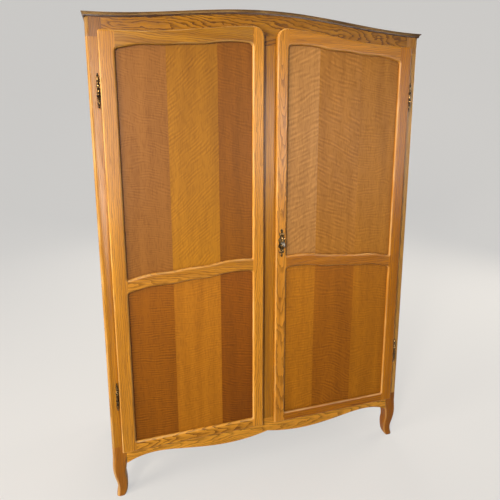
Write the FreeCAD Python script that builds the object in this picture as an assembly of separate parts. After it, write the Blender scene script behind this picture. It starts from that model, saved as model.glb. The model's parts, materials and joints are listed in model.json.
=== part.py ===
import FreeCAD, Part
import math
import os
from FreeCAD import Vector

# Two-door oak wardrobe of the knock-down kind: a base on four legs, four posts with framed
# sides and back, and a lift-off top with a serpentine cornice. Two framed doors lap over the
# posts on turned pin hinges, and meet on a fixed mullion.
#
# All sizes are in millimetres. While a piece is built, x runs from the centre line to the
# right, y runs back from the front face of the posts, and z runs up from the floor.

# Case
CASE_WIDTH = 1342.0
CASE_DEPTH = 520.0
BASE_HEIGHT = 230.0
POST_LENGTH = 1600.0
POST_WIDTH = 56.0
POST_DEPTH = 45.0
POST_ROUND = 14.0
BOARD = 24.0
SHEET = 8.0
BACK_SHEET = 6.0
GROOVE = 8.0
PANEL_PLAY = 1.0
TENON_LENGTH = 22.0
TENON_THICK = 8.0
TENON_SHOULDER = 10.0
DOWEL_RADIUS = 6.0
DOWEL_LENGTH = 60.0
DOWEL_SIDE = 12.0
DOWEL_FACE = 14.0

# Legs: each station of the curved leg is its height as a share of the curve, how far its side and
# its front stand out beyond the post, and its width.
LEG_BLOCK = 45.0
LEG_STATIONS = [(0.89, 1, 1, 58), (0.76, 2, 2, 56), (0.62, 1, 2, 52), (0.51, -2, 1, 49),
                (0.39, -7, -1, 47), (0.27, -12, -3, 43), (0.12, -12, -3, 40), (0.0, -8, 0, 34)]
LEG_ROUND = 9.0
LEG_ARRIS = 0.5
REAR_BLOCK = 80.0
REAR_FOOT = 34.0
REAR_ARRIS = 2.0

# Aprons, hung from the top of the base: the front edge is scalloped, through shares of the half
# width and of the scallop.
APRON_DEPTH = 85.5
APRON_SCALLOP = 32.0
APRON_CURVE = [(0.0, 0.64), (0.16, 0.12), (0.31, 0.0), (0.49, 0.27), (0.65, 0.72),
               (0.81, 1.0), (0.93, 0.68), (1.0, 0.15)]
SIDE_APRON = 62.0
SIDE_APRON_ARCH = 14.0

# Floor, top boards, shelf and rail
BEARER = 20.0
FLOOR_BOARD = 16.0
TOP_BOARD = 12.0
TOP_BOARD_DROP = 20.0
BOARD_COUNT = 5
BOARD_SEAM = 0.4
SHELF_THICK = 18.0
HAT_HEIGHT = 270.0
SHELF_FRONT = 15.0
SHELF_BEARER = 64.0
RAIL_RADIUS = 14.0
RAIL_DROP = 38.0
SOCKET_RADIUS = 22.0
SOCKET_THICK = 7.0

# Side and back frames
SIDE_INSET = 3.0
SIDE_RAIL = 70.0
SIDE_MID_RAIL = 60.0
SIDE_MID_HEIGHT = 660.0
BACK_INSET = 8.0
BACK_FRAME = 22.0
BACK_RAIL = 60.0
MUNTIN_WIDTH = 70.0

# Mullion
MULLION_WIDTH = 76.0
MULLION_TENON = 15.0

# Cornice: height of its top at the ends above the posts, and its section. Curved edges are drawn
# through evenly spaced stations.
CORNICE_END = 80.0
CROWN_RISE = 46.0
CORNICE_PROJECTION = 8.0
CORNICE_BAND = 4.5
CORNICE_COVE = 10.5
COVE_LIP = 2.0
CURVE_STATIONS = 14

# Doors
DOOR_INSET = 41.0
DOOR_HALF_GAP = 26.5
DOOR_THICK = 19.0
DOOR_AIR = 0.8
DOOR_FOOT_LAP = 19.0
DOOR_HEAD_LAP = 23.0
DOOR_CROWN = 44.0
DOOR_FLAT = 65.0
DOOR_CORNER = 40.0
DOOR_EDGE_CORNER = 10.0
DOOR_ARRIS = 7.0
OUTER_STILE = 56.0
INNER_STILE = 48.0
BOTTOM_RAIL = 43.0
TOP_RAIL = 63.0
MID_RAIL = 53.0
LOWER_OPENING = 639.0
WAVE_RISE = 45.0
WAVE = [(0.0, 0.0), (0.07, 0.18), (0.16, 0.38), (0.25, 0.44), (0.35, 0.47), (0.46, 0.61),
        (0.56, 0.66), (0.65, 0.73), (0.76, 0.93), (0.86, 1.0), (1.0, 0.94)]
OPENING_CORNER = 14.0
OPENING_FOOT = 5.0
OPENING_MOULD = 9.0
PANEL_RECESS = 9.5

# Hinges: heights are measured from the door's bottom edge and from its top at the outer stile.
# The finial's outline is in shares of its widest bead's radius and of its length.
HINGE_OFFSET = 7.5
HINGE_RADIUS = 5.5
HINGE_HALF = 60.0
HINGE_KNUCKLE = 36.0
HINGE_LOW = 252.0
HINGE_HIGH = 206.0
HINGE_AIR = 0.3
HINGE_LEAF = 3.0
HINGE_LEAF_DEPTH = 20.0
HINGE_LEAF_GAP = 4.5
HINGE_BEAD = 6.875
HINGE_FINIAL = [(1.0, 0.1), (0.56, 0.25), (0.84, 0.5), (0.44, 0.8), (0.0, 1.0)]
PIN_RADIUS = 3.0
PIN_PLAY = 0.05

# Lock, key and escutcheon, on the right door's inner stile. The plate's lobes are in shares of its
# half width and half height.
LOCK_HEIGHT = 835.0
LOCK_WIDTH = 31.0
LOCK_TALL = 64.0
LOCK_THICK = 16.0
LOCK_WALL = 2.0
LOCK_AIR = 4.0
BOLT_TALL = 14.0
BOLT_THICK = 7.0
BOLT_RISE = 17.0
BOLT_THROW = 12.0
BOLT_AIR = 0.3
STRIKE_THICK = 2.0
STRIKE_RIM = 2.0
STRIKE_MARGIN = 9.0
ESCUTCHEON_TALL = 120.0
ESCUTCHEON_WIDTH = 31.0
ESCUTCHEON_THICK = 2.0
ESCUTCHEON_LOBES = [(0.0, 1.0), (0.3, 0.86), (0.22, 0.72), (0.72, 0.6), (0.55, 0.42),
                    (1.0, 0.2), (0.82, 0.0)]
KEYHOLE_WIDTH = 4.0
KEYHOLE_DROP = 8.5
KEY_RADIUS = 3.0
KEY_BIT = 6.5
KEY_BIT_THICK = 2.4
KEY_STAND = 14.0
KEY_BOW = 11.0
KEY_BOW_RING = 4.0
KEY_BOW_THICK = 4.0

# Sliding bolts on the back of the left door's inner stile
SLIDE_RADIUS = 4.0
SLIDE_LENGTH = 128.0
SLIDE_THROW = 14.0
SLIDE_CLEAR = 2.0
SLIDE_PLATE = 2.5
SLIDE_PLATE_WIDTH = 22.0
SLIDE_STAND = 3.0
SLIDE_GUIDE = 14.0
SLIDE_KNOB = 12.0

# How close two places are when they count as the same, and how far a cutter runs past its piece
NEAR = 0.01
PAST = 1.0

# Places worked out from the sizes above
HALF = CASE_WIDTH / 2
POST_IN = HALF - POST_WIDTH
REAR_Y = CASE_DEPTH - POST_DEPTH
APRON_LOW = BASE_HEIGHT - APRON_DEPTH
APRON_HIGH = APRON_LOW + APRON_SCALLOP
REAR_TAPER_Z = BASE_HEIGHT - REAR_BLOCK
TOP_Z = BASE_HEIGHT + POST_LENGTH
CORNICE_HALF = HALF + CORNICE_PROJECTION
CORNICE_TOP = TOP_Z + CORNICE_END
HEAD_TOP = CORNICE_TOP - CORNICE_BAND
SIDE_OUT = HALF - SIDE_INSET
SIDE_IN = SIDE_OUT - BOARD
SIDE_MID_LOW = BASE_HEIGHT + SIDE_MID_HEIGHT
BACK_Y = CASE_DEPTH - BACK_INSET - BACK_FRAME
SHELF_Z = TOP_Z - HAT_HEIGHT

DOOR_OUT = HALF - DOOR_INSET
DOOR_BACK = -DOOR_AIR
DOOR_FRONT = DOOR_BACK - DOOR_THICK
DOOR_LOW = BASE_HEIGHT - DOOR_FOOT_LAP
DOOR_HIGH = TOP_Z + DOOR_HEAD_LAP
OPEN_OUT = DOOR_OUT - OUTER_STILE
OPEN_IN = DOOR_HALF_GAP + INNER_STILE
OPEN_LOW = DOOR_LOW + BOTTOM_RAIL
MID_LOW = OPEN_LOW + LOWER_OPENING
MID_HIGH = MID_LOW + MID_RAIL
OPEN_HIGH = DOOR_HIGH - TOP_RAIL
PANEL_Y = DOOR_FRONT + PANEL_RECESS

HINGE_X = DOOR_OUT + HINGE_OFFSET
HINGE_Y = DOOR_BACK - DOOR_THICK / 2
HINGE_Z = [DOOR_LOW + HINGE_LOW, DOOR_HIGH - HINGE_HIGH]

MULLION_SIDE = MULLION_WIDTH / 2
KEY_X = DOOR_HALF_GAP + INNER_STILE / 2
KEY_Z = DOOR_LOW + LOCK_HEIGHT
LOCK_X = MULLION_SIDE + LOCK_AIR
LOCK_END = LOCK_X + LOCK_WIDTH
LOCK_BOLT_Y = DOOR_BACK + (LOCK_THICK - BOLT_THICK) / 2
LOCK_BOLT_Z = KEY_Z + BOLT_RISE
ESCUTCHEON_Y = DOOR_FRONT - ESCUTCHEON_THICK
KEY_BOW_Y = ESCUTCHEON_Y - KEY_STAND - KEY_BOW
KEY_REACH = KEY_BOW - KEY_BOW_Y

SLIDE_X = -(MULLION_SIDE + OPEN_IN) / 2
SLIDE_Y = DOOR_BACK + SLIDE_PLATE + SLIDE_STAND + SLIDE_RADIUS

# The finished wardrobe is moved so that its origin is under the middle of its bounding box.
SHIFT = Vector(0, (KEY_REACH - CASE_DEPTH) / 2, 0)


def save(name, *solids):
    """Write one node, as a single solid or as a group of separate solids."""
    shape = solids[0] if len(solids) == 1 else Part.makeCompound(list(solids))
    shape.translated(SHIFT).exportStep("parts/" + name + ".step")


def left(shape):
    """The mirror image of a right-hand piece, on the left."""
    return shape.mirror(Vector(0, 0, 0), Vector(1, 0, 0))


def box(x0, x1, y0, y1, z0, z1):
    return Part.makeBox(x1 - x0, y1 - y0, z1 - z0, Vector(x0, y0, z0))


def rod(radius, start, end):
    span = end - start
    return Part.makeCylinder(radius, span.Length, start, span)


def outline(points, y):
    """One edge in the plane y: a straight line through two points, else a smooth curve."""
    places = [Vector(x, y, z) for x, z in points]
    if len(places) == 2:
        return Part.LineSegment(places[0], places[1]).toShape()
    spline = Part.BSplineCurve()
    spline.interpolate(places)
    return spline.toShape()


def strip(bottom, top, y0, y1):
    """Solid between a bottom and a top outline, each a list of (x, z) along x."""
    sides = [outline([bottom[i], top[i]], y0) for i in (0, -1)]
    edges = [outline(bottom, y0), outline(top, y0)] + sides
    wire = Part.Wire(Part.__sortEdges__(edges))
    return Part.Face(wire).extrude(Vector(0, y1 - y0, 0))


def flat(x0, x1, z):
    return [(x0, z), (x1, z)]


def sampled(height, x0, x1):
    """Points of the outline height(x), evenly spaced."""
    places = [x0 + (x1 - x0) * i / CURVE_STATIONS for i in range(CURVE_STATIONS + 1)]
    return [(x, height(x)) for x in places]


def rounded_section(x0, x1, y0, y1, z, corner_radii):
    """Level rectangle whose corners, from (x0, y0) round by (x1, y0), have the given radii."""
    corners = [(x0, y0, 1, 1), (x1, y0, -1, 1), (x1, y1, -1, -1), (x0, y1, 1, -1)]
    arcs = []
    for index, (x, y, inward_x, inward_y) in enumerate(corners):
        r = corner_radii[index]
        bulge = r * (1 - math.sqrt(0.5))
        along_x = Vector(x + inward_x * r, y, z)
        along_y = Vector(x, y + inward_y * r, z)
        middle = Vector(x + inward_x * bulge, y + inward_y * bulge, z)
        first, last = (along_y, along_x) if index % 2 == 0 else (along_x, along_y)
        arcs.append((first, middle, last))
    edges = []
    for index, (first, middle, last) in enumerate(arcs):
        following = arcs[(index + 1) % 4][0]
        edges.append(Part.Arc(first, middle, last).toShape())
        edges.append(Part.LineSegment(last, following).toShape())
    return Part.Wire(edges)


def upright_edges(solid, x, y):
    """The vertical edges of a solid that stand at (x, y)."""
    found = []
    for edge in solid.Edges:
        bounds = edge.BoundBox
        here = abs(bounds.Center.x - x) < NEAR and abs(bounds.Center.y - y) < NEAR
        if here and bounds.XLength < NEAR and bounds.YLength < NEAR:
            found.append(edge)
    return found


def edges_through(solid, wanted):
    """The edges that run straight back along y, at the places that are wanted."""
    found = []
    for edge in solid.Edges:
        bounds = edge.BoundBox
        if bounds.XLength < NEAR and bounds.ZLength < NEAR and wanted(bounds.Center):
            found.append(edge)
    return found


def round_post(solid):
    """Round the outer front corner, as on the posts."""
    return solid.makeFillet(POST_ROUND, upright_edges(solid, HALF, 0))


def rail_tenons(x0, x1, y, z0, z1):
    """The two tenons of a rail along x, whose front face is at y - TENON_THICK / 2."""
    low, high = z0 + TENON_SHOULDER, z1 - TENON_SHOULDER
    y0, y1 = y - TENON_THICK / 2, y + TENON_THICK / 2
    return [box(x0 - TENON_LENGTH, x0, y0, y1, low, high),
            box(x1, x1 + TENON_LENGTH, y0, y1, low, high)]


def crown(x):
    """Rise of the cornice at x above its ends."""
    return CROWN_RISE * math.cos(math.pi * x / (2 * CORNICE_HALF)) ** 2


# Dowels stand near the outer corner of each post, at its foot and at its head.
DOWEL_PLACES = [(side * (HALF - DOWEL_SIDE), y) for side in (-1, 1)
                for y in (DOWEL_FACE, CASE_DEPTH - DOWEL_FACE)]
DOWELS = [rod(DOWEL_RADIUS, Vector(x, y, z - DOWEL_LENGTH / 2), Vector(x, y, z + DOWEL_LENGTH / 2))
          for x, y in DOWEL_PLACES for z in (BASE_HEIGHT, TOP_Z)]
ALL_DOWELS = Part.makeCompound(DOWELS)

# Rails along x that are tenoned into the base and the top, at the middle of the board.
APRON_TENONS = rail_tenons(-POST_IN, POST_IN, BOARD / 2, APRON_HIGH, BASE_HEIGHT)
REAR_APRON_TENONS = rail_tenons(-POST_IN, POST_IN, CASE_DEPTH - BOARD / 2, APRON_HIGH, BASE_HEIGHT)
FRIEZE_TENONS = rail_tenons(-POST_IN, POST_IN, BOARD / 2, TOP_Z, HEAD_TOP)
REAR_TOP_TENONS = rail_tenons(-POST_IN, POST_IN, CASE_DEPTH - BOARD / 2, TOP_Z, HEAD_TOP)
MULLION_TENONS = [box(-MULLION_SIDE + TENON_SHOULDER, MULLION_SIDE - TENON_SHOULDER,
                      BOARD / 2 - TENON_THICK / 2, BOARD / 2 + TENON_THICK / 2,
                      z - MULLION_TENON, z + MULLION_TENON) for z in (BASE_HEIGHT, TOP_Z)]


def front_leg():
    """Curved front leg under a square block, on the right."""
    curve_top = BASE_HEIGHT - LEG_BLOCK
    sections = [rounded_section(POST_IN, HALF, 0, POST_DEPTH, curve_top,
                                (LEG_ARRIS, POST_ROUND, LEG_ARRIS, LEG_ARRIS))]
    for share, side, front, width in LEG_STATIONS:
        outer = HALF + side
        radii = (LEG_ROUND, POST_ROUND, LEG_ROUND, LEG_ROUND)
        sections.append(rounded_section(outer - width, outer, -front, width - front,
                                        curve_top * share, radii))
    curved = Part.makeLoft(sections, True, False)
    block = round_post(box(POST_IN, HALF, 0, POST_DEPTH, curve_top, BASE_HEIGHT))
    return block.fuse(curved).cut(APRON_TENONS[1]).cut(ALL_DOWELS)


def rear_leg():
    """Plain rear leg, tapered towards the foot, on the right."""
    radii = [REAR_ARRIS] * 4
    top = rounded_section(POST_IN, HALF, REAR_Y, CASE_DEPTH, REAR_TAPER_Z, radii)
    foot = rounded_section(HALF - REAR_FOOT, HALF, CASE_DEPTH - REAR_FOOT, CASE_DEPTH, 0, radii)
    tapered = Part.makeLoft([foot, top], True, True)
    block = box(POST_IN, HALF, REAR_Y, CASE_DEPTH, REAR_TAPER_Z, BASE_HEIGHT)
    return block.fuse(tapered).cut(REAR_APRON_TENONS[1]).cut(ALL_DOWELS)


def build_base():
    leg = front_leg()
    save("leg_front_right", leg)
    save("leg_front_left", left(leg))
    front_legs = Part.makeCompound([leg, left(leg)])
    leg = rear_leg()
    save("legs_rear", leg, left(leg))

    scallop = [(share * POST_IN, APRON_LOW + drop * APRON_SCALLOP) for share, drop in APRON_CURVE]
    half_apron = strip(scallop, flat(0, POST_IN, BASE_HEIGHT), 0, BOARD)
    apron = half_apron.fuse(left(half_apron)).fuse(APRON_TENONS).removeSplitter()
    hole = slide_hole(BASE_HEIGHT, -1)
    save("apron_front", apron.cut(MULLION_TENONS[0]).cut(hole).cut(front_legs))

    side = box(HALF - BOARD, HALF, POST_DEPTH, REAR_Y, BASE_HEIGHT - SIDE_APRON, BASE_HEIGHT)
    span = REAR_Y - POST_DEPTH
    arch_radius = span ** 2 / (8 * SIDE_APRON_ARCH) + SIDE_APRON_ARCH / 2
    arch_z = BASE_HEIGHT - SIDE_APRON + SIDE_APRON_ARCH - arch_radius
    middle = POST_DEPTH + span / 2
    arch = rod(arch_radius, Vector(POST_IN, middle, arch_z), Vector(HALF, middle, arch_z))
    side = side.cut(arch).cut(front_legs)
    save("aprons_side", side, left(side))

    rear = box(-POST_IN, POST_IN, CASE_DEPTH - BOARD, CASE_DEPTH, APRON_HIGH, BASE_HEIGHT)
    save("apron_rear", rear.fuse(REAR_APRON_TENONS))
    save("corner_dowels", *DOWELS)

    bearers_and_boards("floor_bearers", "floor_boards", BASE_HEIGHT - FLOOR_BOARD, FLOOR_BOARD)


def bearers_and_boards(bearer_node, board_node, bearer_top, thick):
    """A level deck of boards that run front to back, on a bearer at the front and one behind.

    The outermost boards are notched round the posts and reach the side boards.
    """
    y0, y1 = BOARD, CASE_DEPTH - BOARD
    z0, z1 = bearer_top, bearer_top + thick
    bearers = [box(-POST_IN, POST_IN, y, y + BEARER, z0 - BEARER, z0) for y in (y0, y1 - BEARER)]
    pitch = 2 * POST_IN / BOARD_COUNT
    boards = []
    for i in range(BOARD_COUNT):
        x0 = -POST_IN + i * pitch
        boards.append(box(x0 + BOARD_SEAM / 2, x0 + pitch - BOARD_SEAM / 2, y0, y1, z0, z1))
    tongue = box(POST_IN - BOARD, HALF - BOARD, POST_DEPTH, REAR_Y, z0, z1)
    boards[-1] = boards[-1].fuse(tongue).removeSplitter()
    boards[0] = boards[0].fuse(left(tongue)).removeSplitter()
    save(bearer_node, *bearers)
    save(board_node, *boards)


# Frame and panel sides: rails are tenoned into the posts, panels are held in grooves.
SIDE_MIDDLE = SIDE_IN + BOARD / 2
SIDE_RAIL_SPANS = [(BASE_HEIGHT, BASE_HEIGHT + SIDE_RAIL),
                   (SIDE_MID_LOW, SIDE_MID_LOW + SIDE_MID_RAIL),
                   (TOP_Z - SIDE_RAIL, TOP_Z)]


def side_slab(thick, y_reach, z0, z1):
    """A piece in the middle of the right side frame, reaching past the posts' inner faces."""
    return box(SIDE_MIDDLE - thick / 2, SIDE_MIDDLE + thick / 2,
               POST_DEPTH - y_reach, REAR_Y + y_reach, z0, z1)


def side_gaps():
    """The heights between the side rails."""
    return [(SIDE_RAIL_SPANS[i][1], SIDE_RAIL_SPANS[i + 1][0]) for i in (0, 1)]


def side_frame():
    """Rails, panels, tenon holes and grooves of the right side."""
    reach = GROOVE - PANEL_PLAY
    panels = [side_slab(SHEET, reach, z0 - reach, z1 + reach) for z0, z1 in side_gaps()]
    grooves = Part.makeCompound([side_slab(SHEET, GROOVE, z0 - GROOVE, z1 + GROOVE)
                                 for z0, z1 in side_gaps()])
    tenons = [side_slab(TENON_THICK, TENON_LENGTH, z0 + TENON_SHOULDER, z1 - TENON_SHOULDER)
              for z0, z1 in SIDE_RAIL_SPANS]
    rails = [side_slab(BOARD, 0, z0, z1).fuse(tenon).cut(grooves)
             for (z0, z1), tenon in zip(SIDE_RAIL_SPANS, tenons)]
    return rails, panels, Part.makeCompound(tenons + [grooves])


# Frame and panel back: two rails, a middle muntin and two sheets.
BACK_MIDDLE = BACK_Y + BACK_FRAME / 2
BACK_RAIL_SPANS = [(BASE_HEIGHT, BASE_HEIGHT + BACK_RAIL), (TOP_Z - BACK_RAIL, TOP_Z)]
BACK_GAP = (BACK_RAIL_SPANS[0][1], BACK_RAIL_SPANS[1][0])


def back_slab(thick, x0, x1, z0, z1):
    return box(x0, x1, BACK_MIDDLE - thick / 2, BACK_MIDDLE + thick / 2, z0, z1)


def back_frame():
    """Rails, muntin, sheets and the cutters for the rear posts."""
    reach = GROOVE - PANEL_PLAY
    edge = MUNTIN_WIDTH / 2
    z0, z1 = BACK_GAP
    sheet = back_slab(BACK_SHEET, edge - reach, POST_IN + reach, z0 - reach, z1 + reach)
    groove = back_slab(BACK_SHEET, edge - GROOVE, POST_IN + GROOVE, z0 - GROOVE, z1 + GROOVE)
    grooves = Part.makeCompound([groove, left(groove)])
    muntin_tenon = back_slab(TENON_THICK, -edge + TENON_SHOULDER, edge - TENON_SHOULDER,
                             z0 - TENON_LENGTH, z1 + TENON_LENGTH)
    muntin = back_slab(BACK_FRAME, -edge, edge, z0, z1).fuse(muntin_tenon).cut(grooves)
    rails = []
    tenons = []
    for low, high in BACK_RAIL_SPANS:
        ends = rail_tenons(-POST_IN, POST_IN, BACK_MIDDLE, low, high)
        rail = back_slab(BACK_FRAME, -POST_IN, POST_IN, low, high).fuse(ends)
        rails.append(rail.cut(muntin_tenon).cut(grooves))
        tenons += ends
    return rails, muntin, [sheet, left(sheet)], Part.makeCompound(tenons + [grooves])


def build_carcass():
    rails, panels, side_cutter = side_frame()
    back_rails, muntin, sheets, back_cutter = back_frame()
    save("side_rails_right", *rails)
    save("side_rails_left", *[left(rail) for rail in rails])
    save("side_panels_right", *panels)
    save("side_panels_left", *[left(panel) for panel in panels])
    save("back_frame", *back_rails, muntin)
    save("back_panels", *sheets)

    post = round_post(box(POST_IN, HALF, 0, POST_DEPTH, BASE_HEIGHT, TOP_Z))
    for z in HINGE_Z:
        post = post.cut(case_leaf(z))
    post = post.cut(side_cutter).cut(ALL_DOWELS)
    save("post_front_right", post)
    save("post_front_left", left(post))
    rear = box(POST_IN, HALF, REAR_Y, CASE_DEPTH, BASE_HEIGHT, TOP_Z)
    rear = rear.cut(side_cutter).cut(back_cutter).cut(ALL_DOWELS)
    save("posts_rear", rear, left(rear))

    mullion = box(-MULLION_SIDE, MULLION_SIDE, 0, BOARD, BASE_HEIGHT, TOP_Z).fuse(MULLION_TENONS)
    save("mullion", mullion.cut(strike_plate()).cut(bolt_pocket()))


def head_slab(x0, x1, depth):
    """Part of the top unit's front, from the posts up to the underside of the cornice."""
    top = sampled(lambda x: HEAD_TOP + crown(x), x0, x1)
    return strip(flat(x0, x1, TOP_Z), top, 0, depth)


def cornice_section(x):
    """Section of the front moulding at x: a nosed band over a cove."""
    z = CORNICE_TOP + crown(x)
    nose = CORNICE_BAND / 2
    tip = CORNICE_PROJECTION
    low = -CORNICE_BAND - CORNICE_COVE
    cove_width = tip - nose - COVE_LIP

    def place(out, height):
        return Vector(x, -out, z + height)

    def line(start, end):
        return Part.LineSegment(place(*start), place(*end)).toShape()

    def arc(start, middle, end):
        return Part.Arc(place(*start), place(*middle), place(*end)).toShape()

    bulge = 1 - math.sqrt(0.5)
    nose_top, nose_tip, nose_foot = (tip - nose, 0), (tip, -nose), (tip - nose, -CORNICE_BAND)
    upper = (tip - nose * bulge, -nose * bulge)
    lower = (tip - nose * bulge, -CORNICE_BAND + nose * bulge)
    cove_foot = (COVE_LIP, low)
    cove_middle = (COVE_LIP + cove_width * bulge, -CORNICE_BAND - CORNICE_COVE * bulge)
    edges = [line((-BOARD, 0), nose_top), arc(nose_top, upper, nose_tip),
             arc(nose_tip, lower, nose_foot), arc(nose_foot, cove_middle, cove_foot),
             line(cove_foot, (0, low)), line((0, low), (0, -CORNICE_BAND)),
             line((0, -CORNICE_BAND), (-BOARD, -CORNICE_BAND)),
             line((-BOARD, -CORNICE_BAND), (-BOARD, 0))]
    return Part.Wire(edges)


def mitre_cutter():
    """Everything to the right of the mitre at the right front corner of the cornice."""
    far = CASE_DEPTH
    corners = [(HALF - far, far), (HALF + far, -far), (HALF + far, far)]
    places = [Vector(x, y, TOP_Z) for x, y in corners]
    triangle = Part.Face(Part.makePolygon(places + places[:1]))
    return triangle.extrude(Vector(0, 0, 2 * (CORNICE_END + CROWN_RISE)))


def cornice_return():
    """The moulding along the right side, from the front mitre to the back."""
    length = CASE_DEPTH + CORNICE_PROJECTION
    run = Part.Face(cornice_section(CORNICE_HALF)).extrude(Vector(length, 0, 0))
    run.rotate(Vector(CORNICE_HALF, 0, 0), Vector(0, 0, 1), 90)
    run.translate(Vector(-CORNICE_PROJECTION, -CORNICE_PROJECTION, 0))
    return run.common(mitre_cutter())


def build_top():
    frieze = head_slab(-POST_IN, POST_IN, BOARD).fuse(FRIEZE_TENONS).cut(MULLION_TENONS[1])
    save("frieze", frieze.cut(slide_hole(TOP_Z, 1)))
    side_cornice = cornice_return()
    head = round_post(head_slab(POST_IN, HALF, POST_DEPTH)).cut(FRIEZE_TENONS[1]).cut(ALL_DOWELS)
    head = head.cut(side_cornice)
    save("head_front_right", head)
    save("head_front_left", left(head))
    rear_head = box(POST_IN, HALF, REAR_Y, CASE_DEPTH, TOP_Z, HEAD_TOP)
    rear_head = rear_head.cut(REAR_TOP_TENONS[1]).cut(ALL_DOWELS)
    save("heads_rear", rear_head, left(rear_head))
    side = box(HALF - BOARD, HALF, POST_DEPTH, REAR_Y, TOP_Z, HEAD_TOP)
    save("top_sides", side, left(side))
    rear = box(-POST_IN, POST_IN, CASE_DEPTH - BOARD, CASE_DEPTH, TOP_Z, HEAD_TOP)
    save("top_rear", rear.fuse(REAR_TOP_TENONS))

    reach = CORNICE_HALF + CORNICE_PROJECTION
    stations = [x for x, rise in sampled(crown, -reach, reach)]
    moulding = Part.makeLoft([cornice_section(x) for x in stations], True, False)
    mitre = mitre_cutter()
    save("cornice_front", moulding.cut(mitre).cut(left(mitre)))
    save("cornice_right", side_cornice)
    save("cornice_left", left(side_cornice))
    bearer_top = HEAD_TOP - TOP_BOARD_DROP - TOP_BOARD
    bearers_and_boards("top_bearers", "top_boards", bearer_top, TOP_BOARD)


def build_interior():
    shelf_y0, shelf_y1 = POST_DEPTH + SHELF_FRONT, BACK_Y
    shelf = box(-SIDE_IN, SIDE_IN, shelf_y0, REAR_Y, SHELF_Z, SHELF_Z + SHELF_THICK)
    tail = box(-POST_IN, POST_IN, REAR_Y, shelf_y1, SHELF_Z, SHELF_Z + SHELF_THICK)
    save("hat_shelf", shelf.fuse(tail).removeSplitter())
    bearer = box(POST_IN, SIDE_IN, POST_DEPTH, REAR_Y, SHELF_Z - SHELF_BEARER, SHELF_Z)
    save("shelf_bearers", bearer, left(bearer))

    rail_y, rail_z = CASE_DEPTH / 2, SHELF_Z - RAIL_DROP
    reach = Vector(POST_IN, rail_y, rail_z)
    inner = Vector(POST_IN - SOCKET_THICK, rail_y, rail_z)
    rail = rod(RAIL_RADIUS, Vector(-POST_IN, rail_y, rail_z), reach)
    save("hanging_rail", rail)
    socket = rod(SOCKET_RADIUS, inner, reach).cut(rail)
    save("rail_sockets", socket, left(socket))


def wave(x_out, x_in, z):
    """The serpentine edge of the door rails, from the outer stile to the inner one."""
    return [(x_out + (x_in - x_out) * share, z + WAVE_RISE * rise) for share, rise in WAVE]


def door_top(x):
    """Top edge of a door, level at the outer stile and rising towards the middle."""
    start = DOOR_OUT - DOOR_FLAT
    if abs(x) >= start:
        return DOOR_HIGH
    return DOOR_HIGH + DOOR_CROWN * math.cos(math.pi * x / (2 * start)) ** 2


def opening_solids(grow, y0, y1):
    """The lower and upper panel openings of the right door, grown on all sides."""
    x_out, x_in = OPEN_OUT + grow, OPEN_IN - grow
    lower = strip(flat(x_out, x_in, OPEN_LOW - grow), wave(x_out, x_in, MID_LOW + grow), y0, y1)
    upper = strip(wave(x_out, x_in, MID_HIGH - grow), wave(x_out, x_in, OPEN_HIGH + grow), y0, y1)
    return [lower, upper]


def rounded_opening(solid):
    """Round the corners of an opening, the upper ones more than the lower ones."""
    middle = solid.BoundBox.Center.z
    solid = solid.makeFillet(OPENING_CORNER, edges_through(solid, lambda centre: centre.z > middle))
    return solid.makeFillet(OPENING_FOOT, edges_through(solid, lambda centre: centre.z < middle))


def front_edges(frame, inside):
    """The edges of the frame's front face, either round the openings or round the outside."""
    margin = min(INNER_STILE, OUTER_STILE, BOTTOM_RAIL) / 2
    found = []
    for edge in frame.Edges:
        bounds = edge.BoundBox
        if bounds.YLength > NEAR or abs(bounds.Center.y - DOOR_FRONT) > NEAR:
            continue
        within = bounds.XMin > DOOR_HALF_GAP + margin and bounds.XMax < DOOR_OUT - margin
        if (within and OPEN_LOW - margin < bounds.ZMin and edge_in_opening(bounds)) == inside:
            found.append(edge)
    return found


def edge_in_opening(bounds):
    """True for an edge below the outer top edge of the door."""
    return bounds.ZMax < door_top(bounds.Center.x) - TOP_RAIL / 4


def door_frame():
    """The right door's frame as one board: outline, moulded openings and softened outer edge."""
    top = sampled(door_top, DOOR_HALF_GAP, DOOR_OUT)
    frame = strip(flat(DOOR_HALF_GAP, DOOR_OUT, DOOR_LOW), top, DOOR_FRONT, DOOR_BACK)
    inner_top = edges_through(frame, lambda c: c.z > DOOR_HIGH and c.x < OPEN_IN)
    frame = frame.makeFillet(DOOR_CORNER, inner_top)
    outer_top = edges_through(frame, lambda c: c.z > OPEN_HIGH and c.x > OPEN_OUT)
    frame = frame.makeFillet(DOOR_EDGE_CORNER, outer_top)
    for opening in opening_solids(0, DOOR_FRONT, DOOR_BACK):
        frame = frame.cut(rounded_opening(opening))
    frame = frame.makeFillet(OPENING_MOULD, front_edges(frame, True))
    return frame.makeFillet(DOOR_ARRIS, front_edges(frame, False))


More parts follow.
